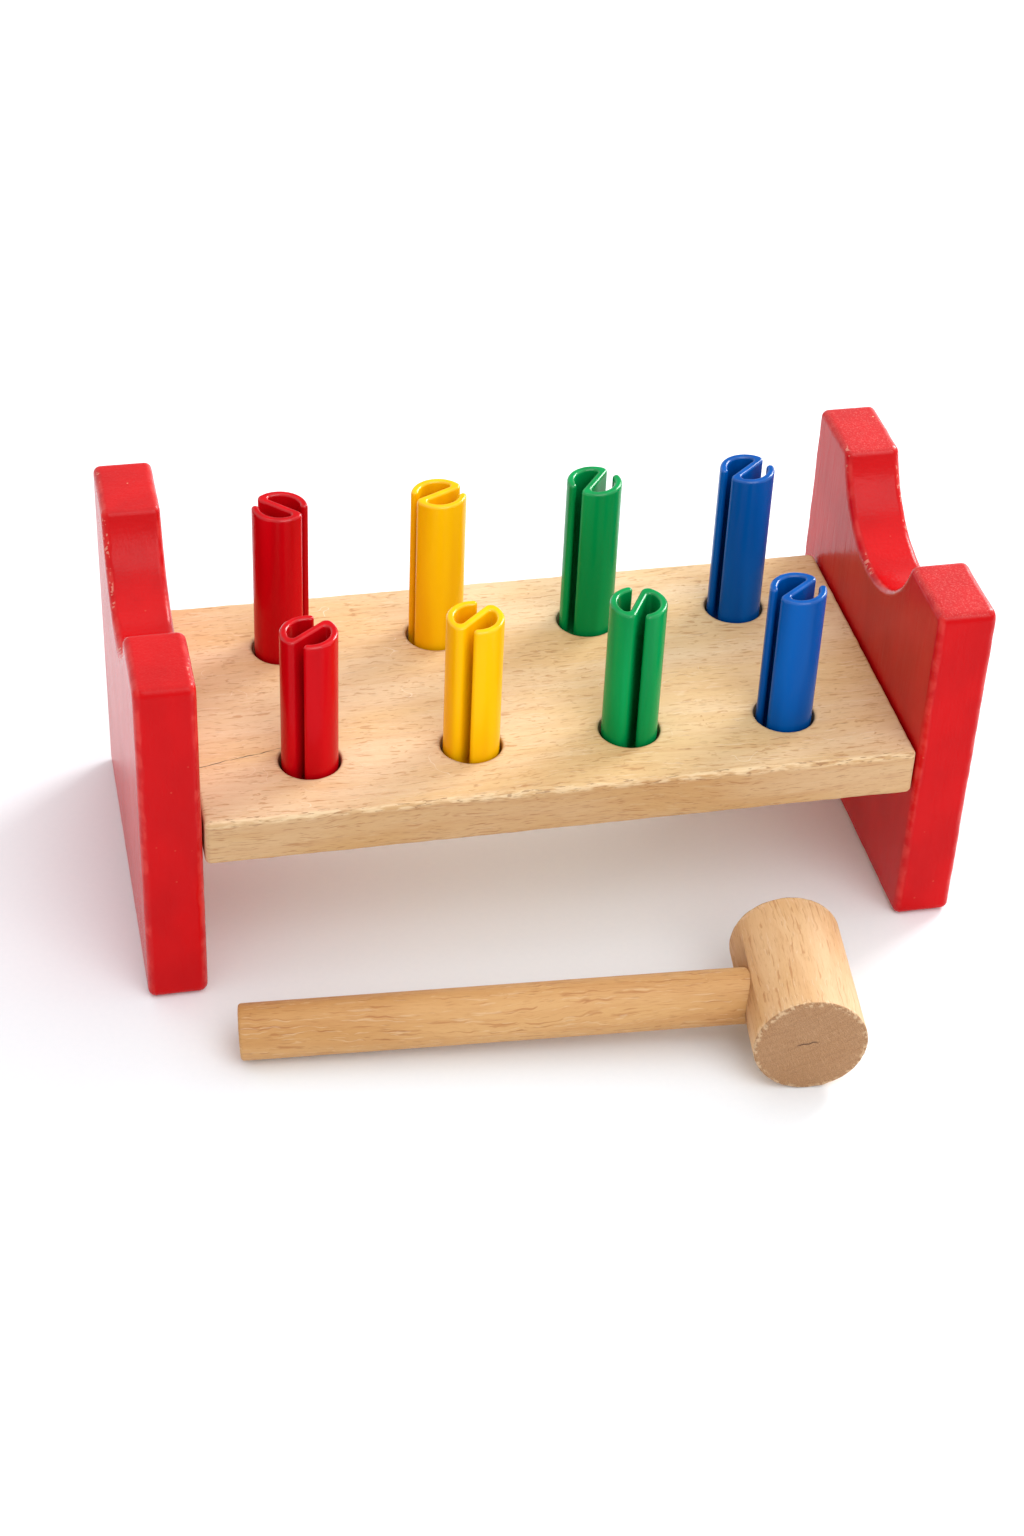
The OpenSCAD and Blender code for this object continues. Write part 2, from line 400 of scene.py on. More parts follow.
def report(piece):
    """Prints a piece's size and checks that its mesh is closed and faces outwards."""
    shape = bmesh.new()
    shape.from_mesh(piece.data)
    loose = sum(1 for edge in shape.edges if len(edge.link_faces) != 2)
    volume = shape.calc_volume(signed=True) / MM ** 3 / 1000
    print(f"{piece.name}: {len(shape.faces)} faces, {volume:.2f} cm3, {loose} open edges")
    shape.free()
    if loose or volume <= 0:
        raise ValueError(piece.name + " is open or inside out")


# %% [markdown]
# ## Patterns in millimetres
#
# Every finish below is a pattern in space: wood is a solid with long fibres, and paint shows the fibres
# under it. The patterns read Object coordinates, moved to the middle of the piece, turned so that its
# grain runs along X and measured in millimetres, so that every lump, fleck and scratch is given its
# real size. They could be laid on with a UV map, but then the grain would not run on round the edges
# and into the end grain.

# %% Start and end a material
def new_material(name):
    """A material whose tree holds one Principled shader, and the graph to fill it with."""
    material = bpy.data.materials.new(name)
    material.use_nodes = True
    material.node_tree.nodes.clear()
    return material, Graph(material.node_tree)


def finish_material(graph, inputs):
    """Ends a tree in a Principled shader with these inputs."""
    shader = graph.node("ShaderNodeBsdfPrincipled", {}, inputs)
    output = graph.tree.nodes.new("ShaderNodeOutputMaterial")
    graph.tree.links.new(shader.output, output.inputs["Surface"])


def tint(red, green, blue):
    """A colour as a paint card gives it, from 0 to 255, turned to the linear light that shaders add up."""
    linear = [(value / 255 / 12.92) if value < 10 else ((value / 255 + 0.055) / 1.055) ** 2.4
              for value in (red, green, blue)]
    return (*linear, 1.0)


# %% Patterns that every finish shares
def grain_space(graph, centre, turn=(0.0, 0.0, 0.0)):
    """Object coordinates in millimetres from a centre, in axes that are turned with the grain."""
    coordinates = graph.node("ShaderNodeTexCoord", output="Object")
    return graph.node("ShaderNodeMapping", {"vector_type": "TEXTURE"},
                      {"Vector": coordinates, "Location": centre, "Rotation": turn, "Scale": (MM, MM, MM)})


def squeezed(graph, space, lump):
    """Space divided by the size that one lump of a pattern has along X, Y and Z."""
    return graph.node("ShaderNodeVectorMath", {"operation": "DIVIDE"}, {0: space, 1: lump})


def lumps(graph, space, lump, detail=2.0):
    """Soft noise from 0 to 1 whose lumps have this size along X, Y and Z."""
    return graph.node("ShaderNodeTexNoise", {}, {"Vector": squeezed(graph, space, lump), "Scale": 1.0,
                                                 "Detail": detail})


def fade(graph, value, start, end):
    """Runs smoothly from 0 at start to 1 at end."""
    return graph.node("ShaderNodeMapRange", {"interpolation_type": "SMOOTHSTEP"},
                      {"Value": value, "From Min": start, "From Max": end})


def mixed(graph, amount, first, second, way="MIX"):
    """One colour turned into another by an amount from 0 to 1."""
    return graph.node("ShaderNodeMix", {"data_type": "RGBA", "blend_type": way, "clamp_factor": True},
                      {"Factor_Float": amount, "A_Color": first, "B_Color": second}, "Result_Color")


def bump(graph, height, distance):
    """Surface relief: height from 0 to 1 stands for so many millimetres."""
    return graph.node("ShaderNodeBump", {}, {"Height": height, "Distance": distance * MM})


def axes(graph, space):
    """The three coordinates of a space."""
    apart = graph.node("ShaderNodeSeparateXYZ", {}, {0: space})
    return apart, apart.also("Y"), apart.also("Z")


# %% [markdown]
# ## Beech
#
# Beech is pale and even. What tells it from other woods are its flecks: short brown dashes along the
# grain, where the saw has cut through the rays. Growth rings are only a faint change of tone, and fine
# pores give the surface a silky streak. The wood is described as a solid: rings round a distant heart,
# long streaks, fine pores, small crisp flecks and longer soft dashes. Here and there the fibres are
# lifted and look paler. A sawn board, a turned head and a round handle then all show the right figure
# without further work.

# %% Make beech
def beech(name, centre, turn, heart, pale, warm, fleck_tint, dash_size, fleck_share, extra=None):
    """Beech with its grain along X of the turned axes, and the tree's heart at (y, z) in millimetres."""
    material, graph = new_material(name)
    space = grain_space(graph, centre, turn)

    drift = graph.node("ShaderNodeTexNoise", {}, {"Vector": squeezed(graph, space, (70.0, 22.0, 22.0)),
                                                  "Scale": 1.0, "Detail": 1.0}, "Color")
    drift = graph.node("ShaderNodeVectorMath", {"operation": "SUBTRACT"}, {0: drift, 1: (0.5, 0.5, 0.5)})
    drift = graph.node("ShaderNodeVectorMath", {"operation": "MULTIPLY"}, {0: drift, 1: (0.0, 9.0, 9.0)})
    bent = summed(graph, space, drift)
    _, across, through = axes(graph, bent)

    from_heart = ((across - heart[0]) ** 2 + (through - heart[1]) ** 2) ** 0.5
    ring = (from_heart / 3.4).math("FRACT")
    ring_line = fade(graph, ring, 0.45, 0.97) * fade(graph, ring, 1.0, 0.96)
    blotch = lumps(graph, bent, (60.0, 13.0, 13.0), 3.0)
    streak = lumps(graph, bent, (26.0, 1.1, 1.1), 3.0)
    pore = lumps(graph, bent, (3.2, 0.22, 0.22), 2.0)

    sway = 1.4 * lumps(graph, bent, (5.0, 5.0, 5.0), 1.0)
    swayed = summed(graph, bent, graph.node("ShaderNodeCombineXYZ", {}, {"Y": sway, "Z": sway}))
    dash = fade(graph, lumps(graph, swayed, dash_size, 2.5), 0.57, 0.68)
    cell = graph.node("ShaderNodeTexVoronoi", {"feature": "F1"},
                      {"Vector": squeezed(graph, swayed, (4.4, 0.7, 0.7)), "Scale": 1.0, "Randomness": 1.0})
    lot = graph.node("ShaderNodeSeparateColor", {}, {0: cell.also("Color")})
    fleck = fade(graph, cell, 0.42, 0.12) * (lot < fleck_share) * (0.3 + 0.7 * lot.also("Green"))

    colour = mixed(graph, fade(graph, blotch, 0.35, 0.68), pale, warm)
    colour = mixed(graph, 0.14 * ring_line + 0.2 * fade(graph, streak, 0.45, 0.75), colour,
                   mixed(graph, 1.0, colour, tint(226, 196, 170), "MULTIPLY"))
    colour = mixed(graph, 0.4 * fade(graph, pore, 0.52, 0.8), colour,
                   mixed(graph, 1.0, colour, tint(214, 188, 160), "MULTIPLY"))
    colour = mixed(graph, 0.55 * dash, colour, mixed(graph, 1.0, colour, tint(206, 168, 128), "MULTIPLY"))
    colour = mixed(graph, 0.32 * fleck, colour, fleck_tint)
    torn = fade(graph, lumps(graph, swayed, (9.0, 0.7, 0.5), 2.0), 0.6, 0.68)
    colour = mixed(graph, 0.25 * torn, colour, mixed(graph, 0.5, pale, tint(255, 240, 214)))
    relief = 0.5 + 0.35 * streak - 0.35 * fade(graph, pore, 0.5, 0.8) - 0.4 * dash
    relief = relief - 0.6 * fleck + 0.5 * torn
    roughness = 0.5 + 0.14 * pore + 0.1 * fleck
    if extra:
        colour, relief, roughness = extra(graph, space, colour, relief, roughness)
    finish_material(graph, {"Base Color": colour, "Roughness": roughness,
                            "Normal": bump(graph, relief, 0.07)})
    return material


# %% [markdown]
# ### The board has had a life
#
# A crack has opened from the left end of the board to the first hole, the front edge has been knocked
# until its fibres show pale, and a few hairline scratches cross the top. A painted highlight runs along
# that front edge, and painted shade darkens the front face and the walls and rims of the holes round
# the pegs. Each is a mask in the board's own millimetres, drawn over the plain beech.

# %% Finish the board
board_low, board_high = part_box("peg_board")
board_middle = (board_low + board_high) / 2
board_half = (board_high - board_low) / 2 / MM

PEG_COLOURS = ("red", "yellow", "green", "blue")
PEG_NAMES = [colour + "_peg_" + row for row in ("front", "back") for colour in PEG_COLOURS]
peg_spots = {name: middle(name) for name in PEG_NAMES}

first_hole = (peg_spots["red_peg_front"] - board_middle) / MM
CRACK_SLOPE = 0.22
CRACK_SHIFT = 7.6


def streaky(graph, space):
    """Torn fibres along the grain."""
    return lumps(graph, space, (2.4, 0.35, 0.35), 2.0)


def board_marks(graph, space, colour, relief, roughness):
    """Crack, scratches, frayed front edge with painted highlight, painted shade on front face and in holes.
    """
    along, across, through = axes(graph, space)
    on_top = through > board_half.z - 0.6

    wobble = lumps(graph, space, (5.0, 400.0, 400.0), 4.0) - 0.5
    crack_line = first_hole.y + CRACK_SHIFT + CRACK_SLOPE * (along - first_hole.x) + 1.6 * wobble
    width = fade(graph, lumps(graph, space, (4.0, 400.0, 400.0), 2.0), 0.36, 0.6)
    crack = fade(graph, abs(across - crack_line), 0.05 + 0.22 * width, 0.0) * on_top
    crack = crack * (along < first_hole.x - 5.5)

    edge_y = across + board_half.y
    edge_z = board_half.z - through
    from_edge = (edge_y ** 2 + edge_z ** 2) ** 0.5
    fibre = fade(graph, lumps(graph, space, (6.0, 1.0, 1.0), 3.0), 0.42, 0.6)
    # Partly wear, partly painted highlight: the front top edge is paler, with frayed fibres.
    frayed_and_highlight = fade(graph, from_edge, 2.2, 0.7) * fibre
    gap = fade(graph, lumps(graph, space, (2.8, 0.5, 0.5), 2.0), 0.6, 0.66)
    nick = fade(graph, from_edge, 2.4, 1.2) * gap
    # Painted shade: the board's front face is darkened because it gets less light than the top.
    front_face_shade = fade(graph, edge_y, 0.9, 0.1)

    hair = lumps(graph, space, (11.0, 9.0, 60.0), 1.0)
    hair_place = lumps(graph, space, (13.0, 12.0, 60.0), 0.0)
    scratch = fade(graph, abs(hair - 0.5), 0.0035, 0.0012) * fade(graph, hair_place, 0.66, 0.7) * on_top

    # Painted shade: the hole walls and a thin ring round each hole are darkened round the pegs, mottled.
    hole_shade = 0.0
    for spot in peg_spots.values():
        local = (spot - board_middle) / MM
        from_hole = ((along - local.x) ** 2 + (across - local.y) ** 2) ** 0.5
        hole_shade = hole_shade + fade(graph, from_hole, 9.5, 8.2)
    hole_mottle = lumps(graph, space, (4.0, 4.0, 4.0), 2.0)

    # In order: painted shade on the front, pale fibres with painted highlight, nicks, scratches, painted
    # shade in the holes, the crack.
    colour = mixed(graph, front_face_shade, colour, mixed(graph, 1.0, colour, tint(226, 212, 196), "MULTIPLY"))
    colour = mixed(graph, 0.6 * frayed_and_highlight, colour, tint(244, 218, 176))
    colour = mixed(graph, 0.6 * nick, colour, tint(150, 100, 60))
    colour = mixed(graph, 0.5 * scratch, colour, tint(250, 236, 214))
    colour = mixed(graph, 0.5 * hole_shade * (0.4 + hole_mottle), colour, tint(122, 84, 52))
    colour = mixed(graph, 0.85 * crack, colour, tint(60, 38, 24))
    relief = relief - 3.5 * crack - 1.5 * nick + 1.6 * frayed_and_highlight * (streaky(graph, space) - 0.5)
    return colour, relief, roughness + 0.2 * frayed_and_highlight


board_beech = beech("board_beech", board_middle, turn=(0.0, 0.0, 0.0), heart=(14.0, -52.0),
                    pale=tint(232, 202, 161), warm=tint(224, 187, 134), fleck_tint=tint(146, 98, 58),
                    dash_size=(6.5, 0.8, 0.38), fleck_share=0.3, extra=board_marks)
print("board beech:", len(board_beech.node_tree.nodes), "nodes")

# %% [markdown]
# ### The mallet
#
# The mallet lies on the floor with its head on its side and the free end of its handle touching the
# ground, so it is turned a little and tilted a little. The grain of the head runs along the head, and
# the grain of the handle along the handle. The struck faces of the head show end grain: darker, with
# faint arcs of growth rings, rays, fine pores, a crumbled rim and a short check near the middle of the
# near face.

# %% Work out how the mallet lies
MALLET_TURN = math.radians(-6.6)
HEAD_LENGTH = 42.0
HANDLE_RADIUS = 7.5
HANDLE_REACH = 132.0
HANDLE_PAST = 7.0

head_middle = middle("mallet_head")
head_radius = head_middle.z / MM
handle_out = head_radius + HANDLE_REACH
tip_angle = math.atan(HANDLE_RADIUS / handle_out)
mallet_tilt = math.asin(head_radius / math.hypot(handle_out, HANDLE_RADIUS)) - tip_angle
mallet_frame = (Matrix.Translation(head_middle) @ Matrix.Rotation(MALLET_TURN, 4, "Z")
                @ Matrix.Rotation(-mallet_tilt, 4, "Y"))
print("mallet tilt:", round(math.degrees(mallet_tilt), 2), "degrees")


# %% Draw the end grain of the head
RING_HEART = (22.0, 46.0)


def head_marks(graph, space, colour, relief, roughness):
    """End grain on the struck faces, with a check in the near one and a crumbled rim round both."""
    along, across, through = axes(graph, space)
    face = fade(graph, abs(along), HEAD_LENGTH / 2 - 0.75, HEAD_LENGTH / 2 - 0.35)
    bend = lumps(graph, space, (400.0, 9.0, 9.0), 2.0) - 0.5
    from_heart = ((across - RING_HEART[0]) ** 2 + (through - RING_HEART[1]) ** 2) ** 0.5
    ring = ((from_heart + 4.0 * bend) / 1.9).math("FRACT")
    ring_line = fade(graph, ring, 0.3, 0.92) * fade(graph, ring, 1.0, 0.93)
    ring_line = ring_line * (0.3 + 0.7 * fade(graph, lumps(graph, space, (400.0, 3.0, 3.0), 2.0), 0.4, 0.6))
    bearing = (through - RING_HEART[1]).math("ARCTAN2", across - RING_HEART[0])
    round_heart = graph.node("ShaderNodeCombineXYZ", {}, {"X": 90.0 * bearing, "Y": from_heart})
    ray = lumps(graph, round_heart, (0.35, 3.5, 1.0))
    pore = lumps(graph, space, (400.0, 0.32, 0.32), 2.0)

    wander = lumps(graph, space, (400.0, 2.6, 400.0), 2.0) - 0.5
    curve_of_check = 1.2 - 0.05 * across * across + 2.2 * wander
    near_face = fade(graph, along, -HEAD_LENGTH / 2 + 3.0, -HEAD_LENGTH / 2 + 1.0)
    check = fade(graph, abs(through - curve_of_check), 0.32, 0.08)
    check = check * fade(graph, abs(across - 1.0), 3.2, 2.0) * near_face

    from_axis = (across ** 2 + through ** 2) ** 0.5
    crumbled = fade(graph, from_axis, head_radius - 1.7, head_radius - 0.5)
    crumbled = crumbled * fade(graph, abs(along), 18.6, 20.2)
    crumbled = crumbled * fade(graph, lumps(graph, space, (1.6, 1.3, 1.3), 3.0), 0.47, 0.6)

    end_grain = mixed(graph, fade(graph, pore, 0.35, 0.7), tint(172, 127, 86), tint(141, 98, 62))
    colour = mixed(graph, 0.9 * face, colour, end_grain)
    colour = mixed(graph, 0.3 * face * ring_line, colour, tint(140, 96, 62))
    colour = mixed(graph, 0.4 * face * fade(graph, ray, 0.55, 0.7), colour, tint(206, 164, 122))
    colour = mixed(graph, 0.8 * face * check, colour, tint(84, 52, 32))
    colour = mixed(graph, 0.5 * crumbled, colour, tint(240, 206, 164))
    carved = 0.8 * fade(graph, pore, 0.7, 0.35) + 0.9 * ray - 0.5 * ring_line - 3.0 * check
    relief = relief - 2.2 * crumbled + face * carved
    return colour, relief, roughness + 0.15 * face


# %% Finish the mallet and the hidden dowels
head_turn = (mallet_frame @ Matrix.Rotation(math.radians(90), 4, "Z")).to_euler()
handle_turn = mallet_frame.to_euler()
head_beech = beech("head_beech", head_middle, turn=head_turn, heart=(6.0, -26.0),
                   pale=tint(227, 187, 140), warm=tint(216, 170, 116), fleck_tint=tint(168, 116, 68),
                   dash_size=(15.0, 0.75, 0.75), fleck_share=0.25, extra=head_marks)
handle_beech = beech("handle_beech", head_middle, turn=handle_turn, heart=(3.0, -17.0),
                     pale=tint(208, 160, 102), warm=tint(192, 140, 80), fleck_tint=tint(146, 94, 50),
                     dash_size=(15.0, 0.7, 0.7), fleck_share=0.3)
dowel_beech = beech("dowel_beech", board_middle, turn=(0.0, 0.0, 0.0), heart=(3.0, -17.0),
                    pale=tint(230, 189, 138), warm=tint(219, 170, 114), fleck_tint=tint(136, 86, 46),
                    dash_size=(15.0, 0.7, 0.7), fleck_share=0.3)
print("head beech:", len(head_beech.node_tree.nodes), "nodes")

# %% [markdown]
# ## Red enamel
#
# The end panels are solid wood with a coat of red enamel. The coat is thin enough to show the upright
# grain as fine ridges on the faces and as a stipple on the sawn tops, and it shines most on the tops,
# in the notch and on the rims. Where the rims have been knocked, the coat is thin and pinkish, and a
# few chips show the wood. The rims are known already: the tree that swept the slab left a value on
# every point, 1 in the middle of a rim and 0 on the flats. The stipple on the tops is painted pale pink,
# partly raised grain and partly a painted sheen of the light behind on the right, so the right panel's
# tops get more of it than the left one's.

# %% Make the enamel
PANEL_NOTCH_RADIUS = 30.0
PANEL_NOTCH_DEPTH = 21.0
panel_low, panel_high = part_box("left_end_panel")
panel_half = (panel_high - panel_low) / 2 / MM


def enamel(name, centre, seed, grain_and_sheen):
    """Red enamel over wood with upright grain, thin on its rims, its tops stippled with grain and painted
    sheen.
    """
    material, graph = new_material(name)
    space = grain_space(graph, centre)
    _, along, up = axes(graph, space)
    rim = graph.node("ShaderNodeAttribute", {"attribute_name": "rim"}, {}, "Fac")
    shifted = summed(graph, space, (seed, seed, seed))

    ridge = lumps(graph, shifted, (0.9, 0.9, 14.0), 3.0)
    ripple = lumps(graph, shifted, (3.5, 0.9, 0.9), 2.0)
    swell = lumps(graph, shifted, (3.0, 3.0, 22.0), 2.0)
    cloud = lumps(graph, shifted, (14.0, 14.0, 22.0), 2.0)
    on_top = fade(graph, up, panel_half.z - 1.2, panel_half.z - 0.4)
    from_notch = (along ** 2 + (up - panel_half.z - PANEL_NOTCH_RADIUS + PANEL_NOTCH_DEPTH) ** 2) ** 0.5
    in_notch = fade(graph, from_notch, PANEL_NOTCH_RADIUS + 2.6, PANEL_NOTCH_RADIUS + 0.4)
    upper = (on_top + in_notch).math("MINIMUM", 1.0)

    thin = fade(graph, lumps(graph, shifted, (5.0, 5.0, 5.0), 4.0), 0.4, 0.66) * fade(graph, rim, 0.2, 0.8)
    knocked = fade(graph, lumps(graph, shifted, (16.0, 16.0, 16.0), 0.0), 0.52, 0.6) * (0.05 + 0.95 * upper)
    chip = fade(graph, lumps(graph, shifted, (1.5, 1.5, 1.5), 3.0), 0.58, 0.62) * fade(graph, rim, 0.4, 0.8)
    chip = chip * knocked
    dots = graph.node("ShaderNodeTexVoronoi", {"feature": "F1"},
                      {"Vector": squeezed(graph, shifted, (4.2, 4.2, 4.2)), "Scale": 1.0})
    lot = graph.node("ShaderNodeSeparateColor", {}, {0: dots.also("Color")})
    speck = fade(graph, dots, 0.09, 0.05) * (lot < 0.3) * (0.1 + 0.9 * on_top)

    red = mixed(graph, fade(graph, cloud, 0.3, 0.7), tint(202, 7, 13), tint(190, 5, 11))
    stipple = lumps(graph, shifted, (0.45, 0.45, 0.45), 1.0)
    # Painted sheen and raised grain: the tops get a pale pink stipple, stronger on the right panel.
    stipple_and_sheen = grain_and_sheen * on_top * fade(graph, stipple, 0.5, 0.72)
    colour = mixed(graph, 0.3 * thin, red, tint(236, 84, 74))
    colour = mixed(graph, stipple_and_sheen, colour, tint(240, 104, 92))
    colour = mixed(graph, 0.6 * chip, colour, tint(240, 160, 138))
    colour = mixed(graph, 0.7 * speck, colour, tint(246, 190, 150))
    relief = 0.5 + 0.9 * ridge + 0.9 * swell + 2.0 * stipple_and_sheen * stipple + in_notch * ripple - 0.6 * chip
    roughness = 0.2 + 0.08 * cloud + 0.12 * on_top + 0.25 * chip
    sheen = 0.05 + (0.15 + 1.2 * grain_and_sheen) * on_top + 0.14 * in_notch + 0.25 * rim
    finish_material(graph, {"Base Color": colour, "Roughness": roughness,
                            "Normal": bump(graph, relief, 0.11), "Specular IOR Level": 0.08,
                            "Coat Weight": sheen, "Coat Roughness": 0.22})
    return material


# The right panel's tops get more pale stipple, partly painted sheen of the light behind on the right.
left_enamel = enamel("left_red_enamel", middle("left_end_panel"), seed=0.0, grain_and_sheen=0.05)
right_enamel = enamel("right_red_enamel", middle("right_end_panel"), seed=37.0, grain_and_sheen=0.3)
print("enamel:", len(left_enamel.node_tree.nodes), "nodes")

# %% [markdown]
# ## Coloured plastic
#
# The pegs are cut from a drawn plastic rod, so they carry faint lines along their length. The plastic
# is coloured right through, and its tone wanders a little. One gloss for the whole peg would make the
# walls look milky under a broad light, so the coat is nearly bare on the walls and almost full on the
# rims, where the real pegs shine.

# %% Make the plastic
PLASTIC_TINTS = {
    "red": (tint(202, 5, 18), tint(182, 3, 14)),
    "yellow": (tint(250, 194, 6), tint(243, 180, 4)),
    "green": (tint(2, 150, 78), tint(2, 132, 66)),
    "blue": (tint(0, 88, 172), tint(0, 76, 154)),
}


def plastic(colour_name):
    """Drawn plastic with faint lines along Z and a polished rim."""
    material, graph = new_material(colour_name + "_plastic_rod")
    bright, deep = PLASTIC_TINTS[colour_name]
    space = grain_space(graph, (0.0, 0.0, 0.0))
    rim = graph.node("ShaderNodeAttribute", {"attribute_name": "rim"}, {}, "Fac")
    line = lumps(graph, space, (0.8, 0.8, 90.0), 2.0)
    swell = lumps(graph, space, (5.0, 5.0, 60.0), 1.0)
    dent = lumps(graph, space, (2.6, 2.6, 2.0), 1.0)
    colour = mixed(graph, fade(graph, swell, 0.3, 0.7), bright, deep)
    roughness = 0.22 + 0.06 * line
    relief = 0.05 * line + 1.2 * swell + 0.8 * dent * rim
    finish_material(graph, {"Base Color": colour, "Roughness": roughness,
                            "Normal": bump(graph, relief, 0.04), "Specular IOR Level": 0.05,
                            "Coat Weight": 0.06 + 0.9 * rim, "Coat Roughness": 0.1})
    return material


plastics = {name: plastic(name) for name in PLASTIC_TINTS}
print("plastics:", ", ".join(plastics))

# %% [markdown]
# ## The end panels
#
# A panel is sawn from a plank: straight sides, a wide round notch in the top, and a horn on each side
# of it. The outline is drawn in the plane of the panel with its foot at zero, and the slab is turned to
# stand on edge. Its corners are a little rounder than its rims, so that the land never closes up.

# %% Saw the panels
PANEL_RIM = 2.1
PANEL_LAND = 0.15
PANEL_WEAR = 0.35
PANEL_CORNER = clear_corner(PANEL_RIM, PANEL_LAND, PANEL_WEAR)


def panel_outline():
    """Half of the outline from the notch to the foot, and the same half mirrored."""
    half_depth = panel_half.y
    height = 2 * panel_half.z
    centre_z = height - PANEL_NOTCH_DEPTH + PANEL_NOTCH_RADIUS
    rise = centre_z - height + PANEL_CORNER
    horn_y = math.sqrt((PANEL_NOTCH_RADIUS + PANEL_CORNER) ** 2 - rise ** 2)
    lean = math.degrees(math.atan2(rise, horn_y))
    notch = arc(0.0, centre_z, PANEL_NOTCH_RADIUS, -lean, -90)
    horn = arc(horn_y, height - PANEL_CORNER, PANEL_CORNER, 90, 180 - lean)
    top = arc(half_depth - PANEL_CORNER, height - PANEL_CORNER, PANEL_CORNER, 0, 90)
    foot = arc(half_depth - PANEL_CORNER, PANEL_CORNER, PANEL_CORNER, -90, 0)
    right_half = foot + top + horn + notch
    left_half = [(-y, z) for y, z in reversed(right_half)]
    return closed(right_half + left_half)


UPRIGHT = Matrix(((0, 0, 1, 0), (1, 0, 0, 0), (0, 1, 0, 0), (0, 0, 0, 1)))

for node, finish, seed in (("left_end_panel", left_enamel, 3.0), ("right_end_panel", right_enamel, 8.0)):
    foot_middle = middle(node)
    foot_middle.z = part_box(node)[0].z
    panel = cut_slab(node + "_painted", [(panel_outline(), PANEL_RIM)], 2 * panel_half.x, finish,
                     Matrix.Translation(foot_middle) @ UPRIGHT, land=PANEL_LAND, wear=PANEL_WEAR,
                     wear_size=5.0, seed=seed)
    report(panel)
    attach(panel, "bench")
    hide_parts(node)

# %% [markdown]
# ## The board
#
# The board is one plank with eight holes, and each hole stands where its peg stands. The outside has
# been sanded and worn, while the drilled rims are still fairly crisp.

# %% Drill the board
BOARD_RIM = 1.1
BOARD_LAND = 0.2
BOARD_WEAR = 0.5
HOLE_RADIUS = 8.35
HOLE_RIM = 0.5


def rectangle(half_x, half_y, corner):
    """A rectangle with rounded corners, counter-clockwise."""
    points = []
    for quarter, (side_x, side_y) in enumerate(((1, 1), (-1, 1), (-1, -1), (1, -1))):
        points += arc(side_x * (half_x - corner), side_y * (half_y - corner), corner,
                      90 * quarter, 90 * quarter + 90)
    return closed(points)


board_corner = clear_corner(BOARD_RIM, BOARD_LAND, BOARD_WEAR)
board_splines = [(rectangle(board_half.x, board_half.y, board_corner), BOARD_RIM)]
for spot in peg_spots.values():
    hole = (spot - board_middle) / MM
    board_splines.append((closed(arc(hole.x, hole.y, HOLE_RADIUS, 360, 0)), HOLE_RIM))

board = cut_slab("peg_board_sanded", board_splines, 2 * board_half.z, board_beech,
                 Matrix.Translation(board_middle), land=BOARD_LAND, wear=BOARD_WEAR,
                 wear_size=5.0, seed=5.0)
report(board)
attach(board, "bench")
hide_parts("peg_board")

# %% Give the hidden dowels their wood
for node in ("left_front_dowel", "left_back_dowel", "right_front_dowel", "right_back_dowel"):
    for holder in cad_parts[node].material_slots:
        holder.material = dowel_beech
    print(node, "in", dowel_beech.name)

# %% [markdown]
# ## The pegs
#
# A peg is a springy ribbon of plastic folded into an S: a curled lobe, a flat web through the middle
# and a second lobe turned the other way. The two slots let it give a little in its hole. The outline
# could be a centre line with a thickness, but the lips and the bends have different roundings. So each
# corner of the outline is a small arc set between a circle and a straight line, and the second half is
# the first one turned by half a circle.

# %% Fold the peg outline
PEG_RADIUS = 7.6
PEG_WALL = 2.1
SLOT = 2.3
PEG_RIM = 0.75
PEG_LAND = 0.1
PEG_WEAR = 0.15
LIP_CORNER = 1.0
BEND_CORNER = 1.9
ROOT_CORNER = 1.0
SLOT_TURN = math.asin((PEG_WALL + SLOT) / (2 * PEG_RADIUS - PEG_WALL))


def perch(side, y, reach):
    """A point at height y and a distance from the axis, left (-1) or right (1), and its bearing."""
    x = side * math.sqrt(reach ** 2 - y ** 2)
    return x, y, math.degrees(math.atan2(y, x)) % 360


def peg_outline(flipped):
    """The S, counter-clockwise, slots left and right. A flipped peg is the same rod, other end up."""
    web = PEG_WALL / 2
    lip = web + SLOT
    inside = PEG_RADIUS - PEG_WALL
    lip_x, lip_y, lip_bearing = perch(-1, -lip - LIP_CORNER, PEG_RADIUS - LIP_CORNER)
    bend_x, bend_y, bend_bearing = perch(1, web - BEND_CORNER, PEG_RADIUS - BEND_CORNER)
    root_x, root_y, root_bearing = perch(-1, web + ROOT_CORNER, inside - ROOT_CORNER)
    tip_x, tip_y, tip_bearing = perch(1, lip + LIP_CORNER, inside + LIP_CORNER)

    half = arc(lip_x, lip_y, LIP_CORNER, 90, lip_bearing)
    half += arc(0.0, 0.0, PEG_RADIUS, lip_bearing, bend_bearing)
    half += arc(bend_x, bend_y, BEND_CORNER, bend_bearing, 450)
    half += arc(root_x, root_y, ROOT_CORNER, 270, root_bearing)
    half += arc(0.0, 0.0, inside, root_bearing, tip_bearing)
    half += arc(tip_x, tip_y, LIP_CORNER, tip_bearing + 180, 270)
    whole = half + [(-x, -y) for x, y in half]

    cos, sin = math.cos(SLOT_TURN), math.sin(SLOT_TURN)
    whole = [(x * cos + y * sin, y * cos - x * sin) for x, y in whole]
    if flipped:
        whole = [(x, -y) for x, y in reversed(whole)]
    return closed(whole)


print("peg outline:", len(peg_outline(False)), "points")

